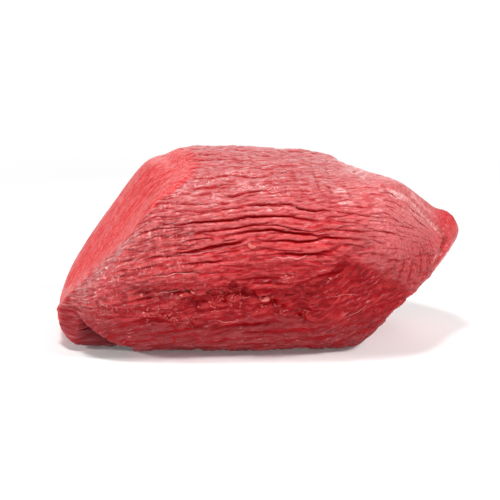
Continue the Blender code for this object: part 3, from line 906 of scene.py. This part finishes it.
    rippled = plus(times(stored("wet"), 0.45),
                   plus(times(stored("calm_face"), 0.08), times(stored("top_film_and_sheen"), 0.12)))
    heights = plus(plus(times(strands, 0.55), times(threads, 0.35)),
                   plus(times(specks, 0.30), times(ripples, rippled)))
    links.new(bent_normal(nodes, links, heights, FIBRE_BUMP, 1.0), shader.inputs["Normal"])
    wet_heights = plus(heights, times(drops, plus(0.30, times(stored("glint"), 0.5))))
    links.new(bent_normal(nodes, links, wet_heights, WET_BUMP, 1.0), shader.inputs["Coat Normal"])
    return material


muscle_mesh.materials.append(muscle_finish())
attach(muscle, "root")
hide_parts("baby_top")

# Torn fibres cling to the lower front where the muscle was pulled from its neighbours: short moist strands,
# a few together along the ragged line, curled up at their ends.
# Each cluster is given as x in mm, degrees up from the front, and how many strands it has.
FIBRE_CLUSTERS = [(-62, -11, 9), (-53.5, -11, 10), (-44.5, -15.4, 12), (-41, -19, 12), (-26, -4.5, 6),
                  (-20, -9, 8), (-13, -8.3, 8), (3, -12, 5), (13, -20, 7), (-22, -52, 5), (24, -22, 5)]
FIBRE_SPREAD = (2.6, 2.2)
FIBRE_SIDES = 5
FIBRE_STEPS = 8
FIBRE_RADIUS = (0.00045, 0.00100)
FIBRE_LENGTH = (1.8, 4.6)
FIBRE_LIFT = (0.0, 0.0016)
STRAND_BUMP = 0.0003
FIBRE_RED = (0.34, 0.006, 0.010, 1.0)
FIBRE_PALE = (0.58, 0.050, 0.048, 1.0)


def on_surface(x, turn):
    """Place and outward normal on the finished muscle, for x in mm and degrees up from the front."""
    columns = np.argsort(degrees[0])
    column = np.interp(turn, degrees[0][columns], np.arange(RING))
    left = np.clip(column.astype(int), 0, RING - 2)
    share = (column - left)[:, None]
    places = []
    for side in (left, left + 1):
        c = columns[side]
        row = np.array([np.interp(-xk, -x_mm[:, ck], np.arange(STATIONS + 1)) for xk, ck in zip(x, c)])
        top = np.clip(row.astype(int), 0, STATIONS - 1)
        part = (row - top)[:, None]
        places.append([grid[top, c] * (1 - part) + grid[top + 1, c] * part for grid in (body, normal)])
    place = places[0][0] * (1 - share) + places[1][0] * share
    facing_out = places[0][1] * (1 - share) + places[1][1] * share
    return place, facing_out / np.linalg.norm(facing_out, axis=-1, keepdims=True)


def loose_mesh(name, vertices, faces, shades):
    """A smooth mesh of many loose bits, with each bit's own tone stored on its vertices."""
    mesh = bpy.data.meshes.new(name)
    mesh.from_pydata(np.concatenate(vertices).tolist(), [], faces)
    mesh.polygons.foreach_set("use_smooth", np.ones(len(mesh.polygons), bool))
    layer = mesh.attributes.new("shade", "FLOAT", "POINT")
    layer.data.foreach_set("value", np.concatenate(shades).astype(np.float32))
    return mesh


def tube_mesh(name, paths, radii, sides):
    """Joins one tapered tube round each path of points; each ring is a circle square to the path."""
    vertices, faces, shades = [], [], []
    turn = np.linspace(0, 2 * np.pi, sides, endpoint=False)
    draw = np.random.default_rng(5)
    for path, radius in zip(paths, radii):
        run = np.gradient(path, axis=0)
        run = run / np.maximum(np.linalg.norm(run, axis=-1, keepdims=True), 1e-9)
        side = np.cross(run, [0.0, 0.0, 1.0]) + 1e-6
        side = side / np.linalg.norm(side, axis=-1, keepdims=True)
        other = np.cross(run, side)
        ring = (np.cos(turn)[None, :, None] * side[:, None, :]
                + np.sin(turn)[None, :, None] * other[:, None, :])
        first = sum(len(block) for block in vertices)
        vertices.append((path[:, None, :] + ring * radius[:, None, None]).reshape(-1, 3))
        faces += ring_quads(len(path), sides, first)[:, [0, 3, 2, 1]].tolist()
        faces.append(list(range(first, first + sides))[::-1])
        last = first + (len(path) - 1) * sides
        faces.append(list(range(last, last + sides)))
        shades.append(np.full(len(path) * sides, draw.uniform()))
    return loose_mesh(name, vertices, faces, shades)


def torn_strands():
    """Paths and radii: each strand starts near its cluster's middle, wanders, and lifts at its free end."""
    draw = np.random.default_rng(19)
    t = np.linspace(0, 1, FIBRE_STEPS)
    paths, radii = [], []
    for x_at, turn_at, count in FIBRE_CLUSTERS:
        for _ in range(count):
            x = x_at + draw.normal(0, FIBRE_SPREAD[0])
            turn = turn_at + draw.normal(0, FIBRE_SPREAD[1])
            angle = draw.uniform(0, 2 * np.pi) + draw.normal(0, 1.4) * t
            length = draw.uniform(*FIBRE_LENGTH)
            path_x = x + np.cumsum(np.cos(angle)) * length / FIBRE_STEPS
            path_turn = turn + np.cumsum(np.sin(angle)) * length / FIBRE_STEPS * 0.95
            place, out = on_surface(path_x, path_turn)
            lift = draw.uniform(*FIBRE_LIFT) * t ** 1.6
            paths.append(place + out * lift[:, None])
            taper = np.sqrt(np.clip(1.02 - t, 0, 1)) * (0.7 + 0.3 * np.sin(9 * t))
            radii.append(draw.uniform(*FIBRE_RADIUS) * taper)
    return paths, radii


def strand_finish(name, low, high):
    """Moist strand: its own tone between two reds, a fine mottling, and a wet sheen."""
    material, shader, nodes, links = shader_material(name)
    shade = read_attribute(nodes, "shade").outputs["Fac"]
    where = nodes.new("ShaderNodeTexCoord").outputs["Object"]
    mottle = stretched_noise(nodes, links, where, (1.6, 1.2, 1.2), 2.0, 0.6)
    own_tone = sums(nodes, links, "MULTIPLY", shade, 0.6)
    tone = sums(nodes, links, "ADD", own_tone, sums(nodes, links, "MULTIPLY", mottle, 0.4))
    links.new(blend_colours(nodes, links, tone, low, high), shader.inputs["Base Color"])
    links.new(spread(nodes, links, mottle, 0.3, 0.7, 0.25, 0.5), shader.inputs["Roughness"])
    shader.inputs["Coat Weight"].default_value = 0.4
    shader.inputs["Coat Roughness"].default_value = 0.12
    shader.inputs["Subsurface Weight"].default_value = 0.1
    shader.inputs["Subsurface Scale"].default_value = 0.001
    links.new(bent_normal(nodes, links, mottle, STRAND_BUMP, 0.5), shader.inputs["Normal"])
    return material


fibres = placed("torn_fibres", tube_mesh("torn_fibres", *torn_strands(), FIBRE_SIDES))
fibres.data.materials.append(strand_finish("torn_fibre_surface", FIBRE_RED, FIBRE_PALE))
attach(fibres, "root")

# Threads of silverskin, the thin tough film round the muscle, are left along some splits and at the seam:
# narrow pale strings that lie half sunk in the meat. Each is given as points of x in mm and degrees up
# from the front, and its radius in mm.
THREADS = [
    ([(-61, 8.9), (-45, 8.5), (-31, 7.3)], 0.30),
    ([(-59, 0.0), (-47, -0.8), (-35, -0.8)], 0.28),
    ([(-49, 17.5), (-38, 16.7), (-28, 16.7), (-18, 17.3)], 0.40),
    ([(5, 10.0), (9, 10.6), (15, 10.2), (19, 9.6), (27, 10.4)], 0.45),
    ([(34, 24.4), (44, 23.4), (56, 23.6)], 0.22),
    ([(72, 41.7), (76, 40.7), (84, 41.0), (92, 43.0)], 0.30),
    ([(-11, 34.4), (0, 33.8), (9, 32.8)], 0.22),
    ([(-26, -20.0), (-18, -22.3), (-10, -22.3)], 0.28),
    ([(38, -11.8), (45, -11.8), (55, -14.6)], 0.20),
    ([(47, -30.8), (55, -27.3), (60, -23.2)], 0.20),
]
THREAD_STEPS = 40
THREAD_SIDES = 6
THREAD_LIFT = 0.00005
SINEW_PINK = (0.62, 0.10, 0.11, 1.0)
SINEW_WHITE = (0.78, 0.30, 0.30, 1.0)


def silverskin_strings():
    """Paths and radii: each thread follows its run of points and thins to its ends."""
    t = np.linspace(0, 1, THREAD_STEPS)
    paths, radii = [], []
    for run, radius in THREADS:
        corners = np.array(run, float)
        x = corners[0, 0] + (corners[-1, 0] - corners[0, 0]) * t
        turn = np.interp(x, corners[:, 0], corners[:, 1]) + 0.25 * np.sin(17 * t + radius * 40)
        place, out = on_surface(x, turn)
        paths.append(place + out * THREAD_LIFT)
        taper = np.sin(np.pi * np.clip(t, 0.03, 0.97)) ** 0.6
        radii.append(radius / 1000 * taper * (0.8 + 0.2 * np.sin(31 * t)))
    return paths, radii


threads = placed("silverskin_threads", tube_mesh("silverskin_threads", *silverskin_strings(), THREAD_SIDES))
threads.data.materials.append(strand_finish("silverskin_surface", SINEW_PINK, SINEW_WHITE))
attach(threads, "root")

# Small flecks of creamy fat are left where the knife did not trim: flattened soft blobs pressed into the
# meat. The larger ones are given as x in mm, degrees up from the front, and radius in mm.
FLECKS = [(2.7, -11.8, 1.7), (-37, -2, 1.2), (-5, 16.9, 1.5), (-74, -24.8, 0.9)]
SMALL_FLECKS = 12
FLECK_RINGS = 7
FLECK_SIDES = 12
FLECK_LONG = 1.3
FLECK_FLAT = 0.45
FAT_CREAM = (0.56, 0.07, 0.06, 1.0)
FAT_WHITE = (0.70, 0.18, 0.14, 1.0)


def fleck_mesh():
    """Joins small bumpy balls, each pressed flat to a third of its width along the surface's normal."""
    draw = np.random.default_rng(29)
    spots = list(FLECKS)
    for _ in range(SMALL_FLECKS):
        spots.append((draw.uniform(-70, 40), draw.uniform(-24, 2), draw.uniform(0.35, 0.8)))
    x, turn, size = np.array(spots, float).T
    places, outs = on_surface(x, turn)
    polar = np.linspace(0, np.pi, FLECK_RINGS)[:, None]
    about = np.linspace(0, 2 * np.pi, FLECK_SIDES, endpoint=False)[None, :]
    vertices, faces, shades = [], [], []
    for k, (place, out, radius) in enumerate(zip(places, outs, size / 1000)):
        side = np.cross(out, [0.2, 0.1, 1.0])
        side = side / np.linalg.norm(side)
        other = np.cross(out, side)
        uneven = 1 + 0.25 * np.sin(2 * about + k) + 0.15 * np.sin(3 * about + 2 * k) * np.sin(polar)
        flat = ((np.sin(polar) * np.cos(about))[..., None] * side * FLECK_LONG
                + (np.sin(polar) * np.sin(about))[..., None] * other)
        raised = (np.cos(polar) + 0 * about)[..., None] * out * radius * FLECK_FLAT
        ball = flat * (radius * uneven)[..., None] + raised
        vertices.append((place + ball).reshape(-1, 3))
        faces += ring_quads(FLECK_RINGS, FLECK_SIDES, k * FLECK_RINGS * FLECK_SIDES).tolist()
        shades.append(np.full(FLECK_RINGS * FLECK_SIDES, draw.uniform()))
    return loose_mesh("fat_flecks", vertices, faces, shades)


flecks = placed("fat_flecks", fleck_mesh())
flecks.data.materials.append(strand_finish("fat_fleck_surface", FAT_CREAM, FAT_WHITE))
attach(flecks, "root")
